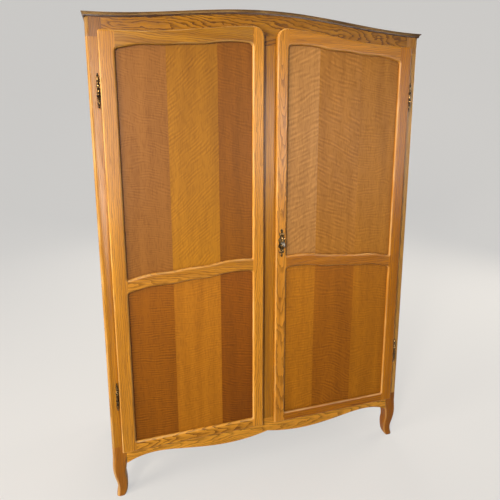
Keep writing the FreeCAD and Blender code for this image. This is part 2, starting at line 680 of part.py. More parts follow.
def door_pieces():
    """Stiles, rails and panels of the right door, cut from the moulded frame."""
    frame = door_frame()
    reach = GROOVE - PANEL_PLAY
    panels = opening_solids(reach, PANEL_Y, PANEL_Y + SHEET)
    grooves = Part.makeCompound(opening_solids(GROOVE, PANEL_Y, PANEL_Y + SHEET))
    y0, y1 = DOOR_FRONT - PAST, DOOR_BACK + PAST
    rail_low, rail_high = DOOR_LOW - PAST, DOOR_HIGH + DOOR_CROWN + PAST
    mid_low, mid_high = (MID_LOW + OPEN_LOW) / 2, (MID_HIGH + OPEN_HIGH) / 2
    tenon_y = PANEL_Y + SHEET / 2
    tenons = {
        "bottom_rail": rail_tenons(OPEN_IN, OPEN_OUT, tenon_y, DOOR_LOW, OPEN_LOW),
        "mid_rail": [rail_tenons(OPEN_IN, OPEN_OUT, tenon_y, MID_LOW + WAVE_RISE * WAVE[-1][1],
                                 MID_HIGH + WAVE_RISE * WAVE[-1][1])[0],
                     rail_tenons(OPEN_IN, OPEN_OUT, tenon_y, MID_LOW, MID_HIGH)[1]],
        "top_rail": [rail_tenons(OPEN_IN, OPEN_OUT, tenon_y, OPEN_HIGH + WAVE_RISE * WAVE[-1][1],
                                 DOOR_HIGH + DOOR_CROWN * WAVE[-1][1])[0],
                     rail_tenons(OPEN_IN, OPEN_OUT, tenon_y, OPEN_HIGH, DOOR_HIGH)[1]],
    }
    all_tenons = Part.makeCompound([tenon for pair in tenons.values() for tenon in pair])
    spans = {"bottom_rail": (rail_low, mid_low), "mid_rail": (mid_low, mid_high),
             "top_rail": (mid_high, rail_high)}
    pieces = {}
    for name, (z0, z1) in spans.items():
        rail = frame.common(box(OPEN_IN, OPEN_OUT, y0, y1, z0, z1))
        pieces[name] = rail.fuse(tenons[name]).cut(grooves)
    for name, x0, x1 in (("inner_stile", 0, OPEN_IN), ("outer_stile", OPEN_OUT, HALF)):
        stile = frame.common(box(x0, x1, y0, y1, rail_low, rail_high))
        pieces[name] = stile.cut(grooves).cut(all_tenons)
    for z in HINGE_Z:
        pieces["outer_stile"] = pieces["outer_stile"].cut(door_leaf(z))
    pieces["lower_panel"], pieces["upper_panel"] = panels
    return pieces


def build_doors():
    pieces = door_pieces()
    for name, piece in pieces.items():
        save("left_door_" + name, left(piece))
        if name == "inner_stile":
            piece = piece.cut(keyhole(DOOR_FRONT, DOOR_BACK))
        save("right_door_" + name, piece)


def case_leaf(z):
    """Leaf of the lower hinge half, let into the post."""
    half = HINGE_LEAF / 2
    return box(HINGE_X - half, HINGE_X + half, HINGE_Y, HINGE_Y + HINGE_LEAF_DEPTH + DOOR_THICK / 2,
               z - HINGE_KNUCKLE, z - HINGE_LEAF_GAP)


def door_leaf(z):
    """Leaf of the upper hinge half, let into the edge of the door."""
    half = HINGE_LEAF / 2
    return box(DOOR_OUT - HINGE_LEAF_DEPTH, HINGE_X, HINGE_Y - half, HINGE_Y + half,
               z + HINGE_LEAF_GAP, z + HINGE_KNUCKLE)


def hinge_half(z, up):
    """A turned knuckle with its finial, standing up or hanging down from the height z."""
    r = HINGE_RADIUS
    finial = HINGE_HALF - HINGE_KNUCKLE
    profile = [(r, HINGE_KNUCKLE)]
    profile += [(HINGE_BEAD * out, HINGE_KNUCKLE + finial * rise) for out, rise in HINGE_FINIAL]
    edges = [outline([(0, HINGE_HALF), (0, HINGE_AIR / 2)], 0),
             outline([(0, HINGE_AIR / 2), (r, HINGE_AIR / 2)], 0),
             outline([(r, HINGE_AIR / 2), (r, HINGE_KNUCKLE)], 0), outline(profile, 0)]
    face = Part.Face(Part.Wire(Part.__sortEdges__(edges)))
    solid = face.revolve(Vector(0, 0, 0), Vector(0, 0, 1), 360)
    if not up:
        solid.rotate(Vector(0, 0, 0), Vector(1, 0, 0), 180)
    return solid.translated(Vector(HINGE_X, HINGE_Y, z))


def build_hinges():
    case_halves = []
    door_halves = []
    for z in HINGE_Z:
        axis = Vector(HINGE_X, HINGE_Y, z)
        pin_top = axis + Vector(0, 0, HINGE_KNUCKLE - HINGE_AIR)
        bore_top = axis + Vector(0, 0, HINGE_KNUCKLE)
        pin = rod(PIN_RADIUS, axis - Vector(0, 0, HINGE_KNUCKLE), pin_top)
        case_halves.append(hinge_half(z, False).fuse(case_leaf(z)).fuse(pin))
        bore = rod(PIN_RADIUS + PIN_PLAY, axis, bore_top)
        door_halves.append(hinge_half(z, True).fuse(door_leaf(z)).cut(bore))
    save("hinges_case", *(case_halves + [left(half) for half in case_halves]))
    save("hinges_right_door", *door_halves)
    save("hinges_left_door", *[left(half) for half in door_halves])


def keyhole(y0, y1):
    """The way for the key: a round hole with a slot under it."""
    half = KEYHOLE_WIDTH / 2
    round_hole = rod(KEY_RADIUS + BOLT_AIR, Vector(KEY_X, y0, KEY_Z), Vector(KEY_X, y1, KEY_Z))
    return round_hole.fuse(box(KEY_X - half, KEY_X + half, y0, y1, KEY_Z - KEYHOLE_DROP, KEY_Z))


def bolt_box(x0, x1, air):
    """The lock bolt's section from x0 to x1, with air round it where it runs in a hole."""
    return box(x0, x1, LOCK_BOLT_Y - air, LOCK_BOLT_Y + BOLT_THICK + air,
               LOCK_BOLT_Z - BOLT_TALL / 2 - air, LOCK_BOLT_Z + BOLT_TALL / 2 + air)


def bolt_pocket():
    """The hole in the mullion that takes the thrown bolt."""
    return bolt_box(LOCK_X - BOLT_THROW - BOLT_AIR, MULLION_SIDE, BOLT_AIR)


def strike_plate():
    """The plate let into the mullion's side, before the bolt's hole is cut in it."""
    z_reach = BOLT_TALL / 2 + STRIKE_MARGIN
    y_reach = BOLT_AIR + STRIKE_RIM
    return box(MULLION_SIDE - STRIKE_THICK, MULLION_SIDE, LOCK_BOLT_Y - y_reach,
               LOCK_BOLT_Y + BOLT_THICK + y_reach, LOCK_BOLT_Z - z_reach, LOCK_BOLT_Z + z_reach)


def escutcheon():
    """Tall shaped plate with lobes, round the keyhole."""
    half_x, half_z = ESCUTCHEON_WIDTH / 2, ESCUTCHEON_TALL / 2
    right_top = [(KEY_X + half_x * x, KEY_Z + half_z * z) for x, z in ESCUTCHEON_LOBES]
    right_low = [(x, 2 * KEY_Z - z) for x, z in reversed(right_top[:-1])]
    right_side = right_top + right_low
    left_side = [(2 * KEY_X - x, z) for x, z in right_side]
    edges = [outline(right_side, ESCUTCHEON_Y), outline(left_side, ESCUTCHEON_Y)]
    face = Part.Face(Part.Wire(Part.__sortEdges__(edges)))
    plate = face.extrude(Vector(0, ESCUTCHEON_THICK, 0))
    return plate.cut(keyhole(ESCUTCHEON_Y, DOOR_FRONT))


def key():
    """Key with its bit in the lock and its ring in front of the door."""
    start = Vector(KEY_X, KEY_BOW_Y + KEY_BOW - KEY_BOW_RING / 2, KEY_Z)
    end = Vector(KEY_X, DOOR_BACK + LOCK_THICK - LOCK_WALL, KEY_Z)
    stem = rod(KEY_RADIUS, start, end)
    half = KEY_BIT_THICK / 2
    bit = box(KEY_X - half, KEY_X + half, LOCK_BOLT_Y, LOCK_BOLT_Y + BOLT_THICK,
              KEY_Z - KEY_BIT, KEY_Z)
    ring_x0 = Vector(KEY_X - KEY_BOW_THICK / 2, KEY_BOW_Y, KEY_Z)
    ring_x1 = Vector(KEY_X + KEY_BOW_THICK / 2, KEY_BOW_Y, KEY_Z)
    ring = rod(KEY_BOW, ring_x0, ring_x1).cut(rod(KEY_BOW - KEY_BOW_RING, ring_x0, ring_x1))
    return stem.fuse(bit).fuse(ring)


def lock_case():
    """Box on the back of the door with the key's chamber and the bolt's channel."""
    y1 = DOOR_BACK + LOCK_THICK
    case = box(LOCK_X, LOCK_END, DOOR_BACK, y1, KEY_Z - LOCK_TALL / 2, KEY_Z + LOCK_TALL / 2)
    key_end = Vector(KEY_X, y1 - LOCK_WALL + BOLT_AIR, KEY_Z)
    bore = rod(KEY_RADIUS + PIN_PLAY, Vector(KEY_X, DOOR_BACK, KEY_Z), key_end)
    chamber = rod(KEY_BIT + BOLT_AIR, Vector(KEY_X, LOCK_BOLT_Y - BOLT_AIR, KEY_Z),
                  Vector(KEY_X, LOCK_BOLT_Y + BOLT_THICK + BOLT_AIR, KEY_Z))
    return case.cut(bore).cut(chamber).cut(bolt_box(LOCK_X, LOCK_END - LOCK_WALL, BOLT_AIR))


def build_lock():
    save("escutcheon", escutcheon())
    save("key", key())
    save("lock_case", lock_case())
    save("lock_bolt", bolt_box(LOCK_X, LOCK_END - LOCK_WALL - BOLT_AIR, 0))
    save("strike_plate", strike_plate().cut(bolt_pocket()))


def slide_hole(z, up):
    """Hole for a sliding bolt in the edge of the board at the height z."""
    mouth = Vector(SLIDE_X, SLIDE_Y, z)
    depth = SLIDE_THROW + SLIDE_CLEAR
    return rod(SLIDE_RADIUS + BOLT_AIR, mouth, mouth + Vector(0, 0, up * depth))


def build_slides():
    """A bolt at the top and one at the bottom of the left door, each on a plate with guides."""
    plates = []
    for name, edge, up in (("left_bolt_top", TOP_Z, 1), ("left_bolt_bottom", BASE_HEIGHT, -1)):
        def level(distance):
            return edge - up * (SLIDE_CLEAR + distance)
        tip = Vector(SLIDE_X, SLIDE_Y, level(0))
        tail = Vector(SLIDE_X, SLIDE_Y, level(SLIDE_LENGTH))
        middle = Vector(SLIDE_X, SLIDE_Y, level(SLIDE_LENGTH / 2))
        knob_end = middle + Vector(0, SLIDE_KNOB + SLIDE_RADIUS, 0)
        save(name, rod(SLIDE_RADIUS, tip, tail).fuse(rod(SLIDE_RADIUS, middle, knob_end)))

        half = SLIDE_PLATE_WIDTH / 2
        plate_ends = sorted((level(SLIDE_GUIDE), level(SLIDE_LENGTH - SLIDE_GUIDE)))
        plate = box(SLIDE_X - half, SLIDE_X + half, DOOR_BACK, DOOR_BACK + SLIDE_PLATE, *plate_ends)
        for start in (SLIDE_GUIDE, SLIDE_LENGTH - 2 * SLIDE_GUIDE):
            guide_ends = sorted((level(start), level(start + SLIDE_GUIDE)))
            guide = box(SLIDE_X - 2 * SLIDE_RADIUS, SLIDE_X + 2 * SLIDE_RADIUS, DOOR_BACK + SLIDE_PLATE,
                        SLIDE_Y + 2 * SLIDE_RADIUS, *guide_ends)
            plate = plate.fuse(guide)
        plates.append(plate.cut(rod(SLIDE_RADIUS + PIN_PLAY, tip, tail)))
    save("left_bolt_plates", *plates)


os.makedirs("parts", exist_ok=True)
build_base()
build_carcass()
build_top()
build_interior()
build_doors()
build_hinges()
build_lock()
build_slides()
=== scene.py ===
"""Looks of the oak wardrobe: finishes for its pieces, cast and turned fittings, stage and light."""

import json
import math

import bmesh
import bpy
from mathutils import Matrix, Vector

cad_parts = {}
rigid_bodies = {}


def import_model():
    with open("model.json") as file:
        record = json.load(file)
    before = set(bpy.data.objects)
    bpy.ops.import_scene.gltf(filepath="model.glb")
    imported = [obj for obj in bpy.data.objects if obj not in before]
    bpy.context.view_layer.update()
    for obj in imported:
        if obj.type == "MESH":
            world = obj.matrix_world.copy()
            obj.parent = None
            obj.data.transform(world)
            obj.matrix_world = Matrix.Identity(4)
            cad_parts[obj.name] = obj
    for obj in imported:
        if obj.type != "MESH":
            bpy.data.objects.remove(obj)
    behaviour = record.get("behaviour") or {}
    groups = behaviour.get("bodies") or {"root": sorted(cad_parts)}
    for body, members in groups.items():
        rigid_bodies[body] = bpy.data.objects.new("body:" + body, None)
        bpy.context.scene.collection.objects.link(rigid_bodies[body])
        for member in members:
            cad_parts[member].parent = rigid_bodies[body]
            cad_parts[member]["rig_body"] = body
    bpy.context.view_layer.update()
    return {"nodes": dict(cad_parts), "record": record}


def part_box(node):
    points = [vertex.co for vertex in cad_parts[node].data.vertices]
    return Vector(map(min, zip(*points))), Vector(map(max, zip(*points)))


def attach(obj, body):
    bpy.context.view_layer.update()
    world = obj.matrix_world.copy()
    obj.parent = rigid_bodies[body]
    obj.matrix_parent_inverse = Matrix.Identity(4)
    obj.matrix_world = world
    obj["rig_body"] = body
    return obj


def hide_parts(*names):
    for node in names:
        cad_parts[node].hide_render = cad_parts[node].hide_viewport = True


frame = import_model()
nodes = frame["nodes"]

MM = 0.001
QUARTER = math.radians(90)
SLOT_OF = {part["node"]: part["material_slot"] for part in frame["record"]["subparts"]}

# Points nearer than WELD are one. Faces that meet under FLAT are one face, and under ROUND a smooth one.
WELD = 0.001 * MM
FLAT = math.radians(0.4)
ROUND = math.radians(38)

# Period of the ring and band textures before they are scaled, in their own units
WAVE_PERIOD = 2 * math.pi / 20


def linear(code):
    """A hex colour as linear red, green, blue and alpha."""
    parts = [int(code[i:i + 2], 16) / 255 for i in (0, 2, 4)]
    return [c / 12.92 if c <= 0.04045 else ((c + 0.055) / 1.055) ** 2.4 for c in parts] + [1.0]


def stained(tone, red, green, blue):
    """A shade of a tone, by shares of its red, green and blue."""
    return [c * share for c, share in zip(linear(tone), (red, green, blue))] + [1.0]


def pitch(across, along):
    """Scale of a pattern from its size in millimetres, across the grain and along it."""
    return 1 / (across * MM), 1 / (across * MM), 1 / (along * MM)


def add(tree, kind, inputs=None, **settings):
    """One shader node with its settings, and its inputs as values or as the sockets that feed them."""
    node = tree.nodes.new("ShaderNode" + kind)
    for key, value in settings.items():
        setattr(node, key, value)
    for key, value in (inputs or {}).items():
        if isinstance(value, bpy.types.NodeSocket):
            tree.links.new(value, node.inputs[key])
        else:
            node.inputs[key].default_value = value
    return node


def new_material(name):
    """An empty material with its shader, and the tree that feeds it."""
    material = bpy.data.materials.new(name)
    material.use_nodes = True
    return material, material.node_tree, material.node_tree.nodes["Principled BSDF"]


def paint(material, *names):
    """Give CAD nodes a finish."""
    for name in names:
        slots = nodes[name].material_slots
        for slot in slots:
            slot.material = material
        if not slots:
            nodes[name].data.materials.append(material)


def lacquer(tree, shader, wood, pore, gloss, reach, unshaded_at):
    """Old satin lacquer over the wood: a soft sheen, dull pores, and dirt and painted shade that darken the
    corners and fade out of them.

    reach is how far from a corner the dirt and painted shade lie in millimetres, and unshaded_at how open a
    place without them is.
    """
    # Dirt and painted shade: ambient occlusion darkens corners, recesses and the borders of panels.
    corner = add(tree, "AmbientOcclusion", {"Distance": reach * MM}, samples=8)
    dirt_and_painted_shade = add(tree, "MapRange", {0: corner.outputs["AO"], 1: 0.3, 2: unshaded_at, 3: 0.7, 4: 0.0})
    dirtied_and_shaded = add(tree, "Mix", {0: dirt_and_painted_shade.outputs[0], 6: wood, 7: linear("2e1503")}, data_type="RGBA")
    satin = add(tree, "MapRange", {0: pore, 1: 0.0, 2: 1.0, 3: gloss, 4: gloss + 0.16})
    relief = add(tree, "Bump", {"Height": pore, "Strength": 0.05, "Distance": 0.2 * MM}, invert=True)
    tree.links.new(dirtied_and_shaded.outputs[2], shader.inputs["Base Color"])
    tree.links.new(satin.outputs[0], shader.inputs["Roughness"])
    tree.links.new(relief.outputs[0], shader.inputs["Normal"])


# Patterns of solid oak in millimetres, across the grain and along it: how the rings stray, pores, and broad
# bands. Pores are under half a millimetre wide, and are drawn 4 mm wide to show from two steps away.
RING_STRAY = (71.4, 200)
OAK_PORE = (4, 111)
OAK_BAND = (23.8, 556)


def sawn_oak(name, tone, grain, heart, lean, ring, contrast, wander):
    """Solid oak: rings cut by the saw, with pores drawn out along the grain.

    heart is a point in the middle of the log and grain the axis along it. lean tips that axis out of
    the board, which turns straight grain into flames. wander is how far the rings stray, in millimetres.
    """
    material, tree, shader = new_material(name)
    turn = {"x": (0.0, QUARTER + lean[1], lean[0]), "y": (-QUARTER + lean[0], lean[1], 0.0),
            "z": (lean[0], lean[1], 0.0)}[grain]
    place = add(tree, "TexCoord").outputs["Object"]
    log = add(tree, "Mapping", {"Vector": place, "Location": heart, "Rotation": turn},
              vector_type="TEXTURE")
    slow = add(tree, "Mapping", {"Vector": log.outputs[0], "Scale": pitch(*RING_STRAY)})
    noise = add(tree, "TexNoise", {"Vector": slow.outputs[0], "Scale": 1.0, "Detail": 4.0,
                                   "Roughness": 0.55})
    shift = add(tree, "VectorMath", {0: noise.outputs["Color"], 1: (0.5, 0.5, 0.5)},
                operation="SUBTRACT")
    bent = add(tree, "VectorMath", {0: shift.outputs[0], 1: (wander * MM, wander * MM, 0.0),
                                    2: log.outputs[0]}, operation="MULTIPLY_ADD")
    # Rings are 2 to 4 mm wide on such boards, and are drawn a little wider for the same reason as pores.
    rings = add(tree, "TexWave", {"Vector": bent.outputs[0], "Scale": WAVE_PERIOD / (ring * MM)},
                wave_type="RINGS", rings_direction="Z", wave_profile="SAW")
    early = add(tree, "MapRange", {0: rings.outputs["Fac"], 1: 0.0, 2: 0.6, 3: contrast, 4: 0.0},
                interpolation_type="SMOOTHSTEP")
    fibre = add(tree, "Mapping", {"Vector": bent.outputs[0], "Scale": pitch(*OAK_PORE)})
    streaks = add(tree, "TexNoise", {"Vector": fibre.outputs[0], "Scale": 1.0, "Detail": 4.0,
                                     "Roughness": 0.65})
    pore = add(tree, "MapRange", {0: streaks.outputs["Fac"], 1: 0.46, 2: 0.66, 3: 0.0, 4: 1.0})
    dash = add(tree, "MapRange", {0: streaks.outputs["Fac"], 1: 0.35, 2: 0.55, 3: 0.5, 4: 1.0})
    # Boards are paler and darker in broad bands along the grain.
    band = add(tree, "Mapping", {"Vector": log.outputs[0], "Scale": pitch(*OAK_BAND)})
    broad = add(tree, "TexNoise", {"Vector": band.outputs[0], "Scale": 1.0, "Detail": 2.0})
    spread = add(tree, "MapRange", {0: broad.outputs["Fac"], 1: 0.34, 2: 0.66, 3: 0.0, 4: 1.0})
    dark = stained(tone, 0.25, 0.18, 0.1)
    body = add(tree, "Mix", {0: spread.outputs[0], 6: stained(tone, 1.3, 1.36, 1.4),
                             7: stained(tone, 1.0, 0.97, 0.9)}, data_type="RGBA")
    figure = add(tree, "Math", {0: early.outputs[0], 1: dash.outputs[0]}, operation="MULTIPLY")
    ringed = add(tree, "Mix", {0: figure.outputs[0], 6: body.outputs[2], 7: dark}, data_type="RGBA")
    depth = add(tree, "Math", {0: pore.outputs[0], 1: 0.38}, operation="MULTIPLY")
    wood = add(tree, "Mix", {0: depth.outputs[0], 6: ringed.outputs[2], 7: dark}, data_type="RGBA")
    # Hands have rubbed the rounded arrises paler, more in some places than in others, and their cream
    # colour is partly a painted highlight.
    facing = add(tree, "VectorMath", {0: add(tree, "TexCoord").outputs["Normal"]}, operation="ABSOLUTE")
    parts = add(tree, "SeparateXYZ", {0: facing.outputs[0]})
    wider = add(tree, "Math", {0: parts.outputs["X"], 1: parts.outputs["Y"]}, operation="MAXIMUM")
    widest = add(tree, "Math", {0: wider.outputs[0], 1: parts.outputs["Z"]}, operation="MAXIMUM")
    arris = add(tree, "MapRange", {0: widest.outputs[0], 1: 0.98, 2: 0.86, 3: 0.0, 4: 0.5})
    patch = add(tree, "MapRange", {0: noise.outputs["Fac"], 1: 0.42, 2: 0.6, 3: 0.3, 4: 1.0})
    rubbed_and_highlit = add(tree, "Math", {0: arris.outputs[0], 1: patch.outputs[0]}, operation="MULTIPLY")
    worn = add(tree, "Mix", {0: rubbed_and_highlit.outputs[0], 6: wood.outputs[2], 7: linear("e2b877")},
               data_type="RGBA")
    shader.inputs["Specular IOR Level"].default_value = 0.13
    lacquer(tree, shader, worn.outputs[2], pore.outputs[0], gloss=0.24, reach=6, unshaded_at=0.85)
    return material


# Patterns of veneer in millimetres: the swell that bends its ripples, the places where they fade, and short
# pores and broad bands across the grain and along it. These pores too are drawn wider than they are.
SWELL = 222
FADE = 26
VENEER_PORE = (3.7, 29.4)
VENEER_BAND = (33.3, 455)


def veneer(name, foot, head, leaves):
    """Quarter-sawn oak veneer in upright leaves, each with its own tone and its own rippled ray figure.

    foot and head are the heights of its ends. A leaf is the x where it starts in millimetres, its tone,
    the lean of its ripples in degrees, rising to the right, their spacing and how far they bend in
    millimetres, their strength, and how much paler the leaf grows towards its head, which is partly
    its own tone and partly painted light and shade along its height.
    """
    material, tree, shader = new_material(name)
    place = add(tree, "TexCoord").outputs["Object"]
    parts = add(tree, "SeparateXYZ", {0: place})
    rise = add(tree, "MapRange", {0: parts.outputs["Z"], 1: foot, 2: head, 3: -0.5, 4: 0.5})
    drift = add(tree, "TexNoise", {"Vector": place, "Scale": 1 / (SWELL * MM), "Detail": 1.0})
    swell = add(tree, "Math", {0: drift.outputs["Fac"], 1: 0.5}, operation="SUBTRACT")
    fibre = add(tree, "Mapping", {"Vector": place, "Scale": pitch(*VENEER_PORE)})
    streaks = add(tree, "TexNoise", {"Vector": fibre.outputs[0], "Scale": 1.0, "Detail": 2.0,
                                     "Roughness": 0.6})
    pore = add(tree, "MapRange", {0: streaks.outputs["Fac"], 1: 0.48, 2: 0.66, 3: 0.0, 4: 1.0})
    band = add(tree, "Mapping", {"Vector": place, "Scale": pitch(*VENEER_BAND)})
    broad = add(tree, "TexNoise", {"Vector": band.outputs[0], "Scale": 1.0, "Detail": 2.0})
    cloud = add(tree, "MapRange", {0: broad.outputs["Fac"], 1: 0.3, 2: 0.7, 3: 0.36, 4: 0.64})
    wood = None
    for start, tone, lean, spacing, bend, strength, paler in leaves:
        rise_x, rise_z = math.cos(math.radians(lean)), math.sin(math.radians(lean))
        across = add(tree, "VectorMath", {0: place, 1: (-rise_z, 0.0, rise_x)}, operation="DOT_PRODUCT")
        along = add(tree, "VectorMath", {0: place, 1: (0.5 * rise_x, 0.0, 0.5 * rise_z)},
                    operation="DOT_PRODUCT")
        curved = add(tree, "Math", {0: swell.outputs[0], 1: bend * MM, 2: across.outputs["Value"]},
                     operation="MULTIPLY_ADD")
        stroke = add(tree, "CombineXYZ", {0: curved.outputs[0], 1: along.outputs["Value"], 2: start * MM})
        ripple = add(tree, "TexWave", {"Vector": stroke.outputs[0],
                                       "Scale": WAVE_PERIOD / (spacing * MM),
                                       "Distortion": 4.0, "Detail": 2.0, "Detail Scale": 1.4},
                     wave_type="BANDS", bands_direction="X", wave_profile="SIN")
        ray = add(tree, "MapRange", {0: ripple.outputs["Fac"], 1: 0.0, 2: 1.0, 3: -strength, 4: strength})
        gaps = add(tree, "TexNoise", {"Vector": stroke.outputs[0], "Scale": 1 / (FADE * MM),
                                      "Detail": 1.0})
        kept = add(tree, "MapRange", {0: gaps.outputs["Fac"], 1: 0.4, 2: 0.6, 3: 0.0, 4: 1.0})
        # Partly painted light and shade: the leaf grows paler or darker along its height.
        length = add(tree, "Math", {0: rise.outputs[0], 1: paler, 2: cloud.outputs[0]},
                     operation="MULTIPLY_ADD")
        shade = add(tree, "Math", {0: ray.outputs[0], 1: kept.outputs[0], 2: length.outputs[0]},
                    operation="MULTIPLY_ADD")
        rayed = add(tree, "Mix", {0: shade.outputs[0], 6: stained(tone, 0.6, 0.56, 0.48),
                                  7: stained(tone, 1.4, 1.46, 1.6)}, data_type="RGBA").outputs[2]
        if wood is None:
            wood = rayed
        else:
            side = add(tree, "Math", {0: parts.outputs["X"], 1: start * MM}, operation="GREATER_THAN")
            wood = add(tree, "Mix", {0: side.outputs[0], 6: wood, 7: rayed}, data_type="RGBA").outputs[2]
    depth = add(tree, "Math", {0: pore.outputs[0], 1: 0.22}, operation="MULTIPLY")
    pored = add(tree, "Mix", {0: depth.outputs[0], 6: wood, 7: linear("4a2204")}, data_type="RGBA")
    shader.inputs["Specular IOR Level"].default_value = 0.08
    # The wide reach paints a soft shade round the borders of each panel, with some dirt.
    lacquer(tree, shader, pored.outputs[2], pore.outputs[0], gloss=0.4, reach=40, unshaded_at=0.97)
    return material


def cast_metal(name, tones, rough, stain, pit):
    """Cast and filed metal: stained dark and worn bright in small patches, with a fine pitted skin.

    tones and rough are those of the stained and of the worn patches. stain and pit are the sizes of the
    patches and of the pits in millimetres.
    """
    material, tree, shader = new_material(name)
    place = add(tree, "TexCoord").outputs["Object"]
    patches = add(tree, "TexNoise", {"Vector": place, "Scale": 1 / (stain * MM), "Detail": 3.0})
    worn = add(tree, "MapRange", {0: patches.outputs["Fac"], 1: 0.46, 2: 0.68, 3: 0.0, 4: 1.0})
    colour = add(tree, "Mix", {0: worn.outputs[0], 6: linear(tones[0]), 7: linear(tones[1])},
                 data_type="RGBA")
    gloss = add(tree, "MapRange", {0: worn.outputs[0], 1: 0.0, 2: 1.0, 3: rough[0], 4: rough[1]})
    pits = add(tree, "TexNoise", {"Vector": place, "Scale": 1 / (pit * MM), "Detail": 3.0})
    skin = add(tree, "Bump", {"Height": pits.outputs["Fac"], "Strength": 0.25, "Distance": 0.2 * MM})
    shader.inputs["Metallic"].default_value = 1.0
    tree.links.new(colour.outputs[2], shader.inputs["Base Color"])
    tree.links.new(gloss.outputs[0], shader.inputs["Roughness"])
    tree.links.new(skin.outputs[0], shader.inputs["Normal"])
    return material


def fit(name, work, materials, slot, body, *stands_for):
    """Make a finished bmesh a piece that rides on a body, and that may stand for CAD nodes."""
    bmesh.ops.remove_doubles(work, verts=work.verts, dist=WELD)
    bmesh.ops.recalc_face_normals(work, faces=work.faces)
    mesh = bpy.data.meshes.new(name)
    work.to_mesh(mesh)
    work.free()
    mesh.shade_smooth()
    mesh.set_sharp_from_angle(angle=ROUND)
    for material in materials:
        mesh.materials.append(material)
    piece = bpy.data.objects.new(name, mesh)
    bpy.context.scene.collection.objects.link(piece)
    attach(piece, body)
    if stands_for:
        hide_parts(*stands_for)
    return piece


def boards_in(work):
    """The separate boards of a bmesh, each as its faces."""
    left = set(work.faces)
    while left:
        board = [left.pop()]
        for face in board:
            near = {other for edge in face.edges for other in edge.link_faces} & left
            left -= near
            board += near
        yield board


def finish(oak, *names):
    """Planed and sanded boards: merged copies of CAD nodes, whose rounds shade smoothly.

    oak holds a finish for each axis that grain may run along, and a board takes the one of its length.
    """
    for name in names:
        work = bmesh.new()
        work.from_mesh(nodes[name].data)
        bmesh.ops.remove_doubles(work, verts=work.verts, dist=WELD)
        bmesh.ops.dissolve_limit(work, angle_limit=FLAT, verts=work.verts, edges=work.edges)
        used = []
        for board in boards_in(work):
            places = [vert.co for face in board for vert in face.verts]
            spans = [max(span) - min(span) for span in zip(*places)]
            axis = "xyz"[spans.index(max(spans))]
            wood = oak.get(axis) or next(iter(oak.values()))
            used += [] if wood in used else [wood]
            for face in board:
                face.material_index = used.index(wood)
        piece = fit(name + "_finished", work, used, SLOT_OF[name], nodes[name]["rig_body"], name)
        evened = piece.modifiers.new("even_faces", "WEIGHTED_NORMAL")
        evened.keep_sharp = True
        evened.weight = 100


# Turns that lay an upright turned shape along an axis
LAY = {"z": Matrix(), "-z": Matrix.Rotation(2 * QUARTER, 4, "X"),
       "y": Matrix.Rotation(-QUARTER, 4, "X"), "-y": Matrix.Rotation(QUARTER, 4, "X"),
       "x": Matrix.Rotation(QUARTER, 4, "Y"), "-x": Matrix.Rotation(-QUARTER, 4, "Y")}


def turned(work, profile, foot, axis="z", steps=24):
    """Add a turned shape: (radius, height) pairs in millimetres, spun about an axis through foot."""
    before = set(work.verts)
    places = [work.verts.new((radius * MM, 0.0, height * MM)) for radius, height in profile]
    edges = [work.edges.new(pair) for pair in zip(places, places[1:])]
    bmesh.ops.spin(work, geom=places + edges, axis=(0.0, 0.0, 1.0), cent=(0.0, 0.0, 0.0),
                   angle=4 * QUARTER, steps=steps, use_merge=True)
    made = [vert for vert in work.verts if vert not in before]
    bmesh.ops.transform(work, matrix=Matrix.Translation(foot) @ LAY[axis], verts=made)


def slab(work, low, high, soft):
    """Add a block between two corners with softened edges, in metres."""
    size = Matrix.Diagonal((high - low).to_4d())
    size[3][3] = 1.0
    middle = Matrix.Translation((low + high) / 2)
    made = bmesh.ops.create_cube(work, size=1.0, matrix=middle @ size)["verts"]
    edges = {edge for vert in made for edge in vert.link_edges}
    bmesh.ops.bevel(work, geom=list(edges), offset=soft, segments=2, profile=0.5, affect="EDGES",
                    material=-1)


# Half of a turned hinge, from the joint between the halves out to the tip: radius and height in millimetres
SPINDLE = [(0.0, 0.15), (5.0, 0.15), (5.4, 0.6), (5.4, 10.6), (5.0, 11.2), (4.5, 11.6), (4.6, 12.4),
           (5.7, 13.4), (6.5, 15.0), (6.8, 17.2), (6.5, 19.4), (5.7, 21.0), (4.4, 22.2), (3.9, 23.0),
           (4.3, 23.8), (4.9, 24.8), (4.9, 26.2), (4.3, 27.2), (3.8, 28.4), (3.7, 29.6), (4.4, 30.8),
           (5.1, 32.4), (5.1, 34.4), (4.4, 36.0), (4.2, 37.0), (4.9, 39.5), (5.0, 42.0), (4.5, 45.5),
           (3.6, 49.5), (2.7, 52.6), (2.3, 53.8), (2.8, 55.0), (3.0, 56.6), (2.7, 58.2), (1.6, 59.5),
           (0.0, 59.9)]
HALF_HINGE = 60.0

# Hinge leaves as two corners from that joint, in millimetres outwards, back and up
CASE_LEAF = [(-1.5, 0.0, -36.0), (1.5, 29.5, -4.5)]
DOOR_LEAF = [(-27.5, -1.5, 4.5), (0.0, 1.5, 36.0)]
LEAF_SOFT = 0.4

# Hinge nodes: the body, the way the half points, its leaf and the sides of the wardrobe that it is on
HINGES = {"hinges_case": ("case", "-z", CASE_LEAF, (-1, 1)),
          "hinges_left_door": ("left_door", "z", DOOR_LEAF, (-1,)),
          "hinges_right_door": ("right_door", "z", DOOR_LEAF, (1,))}


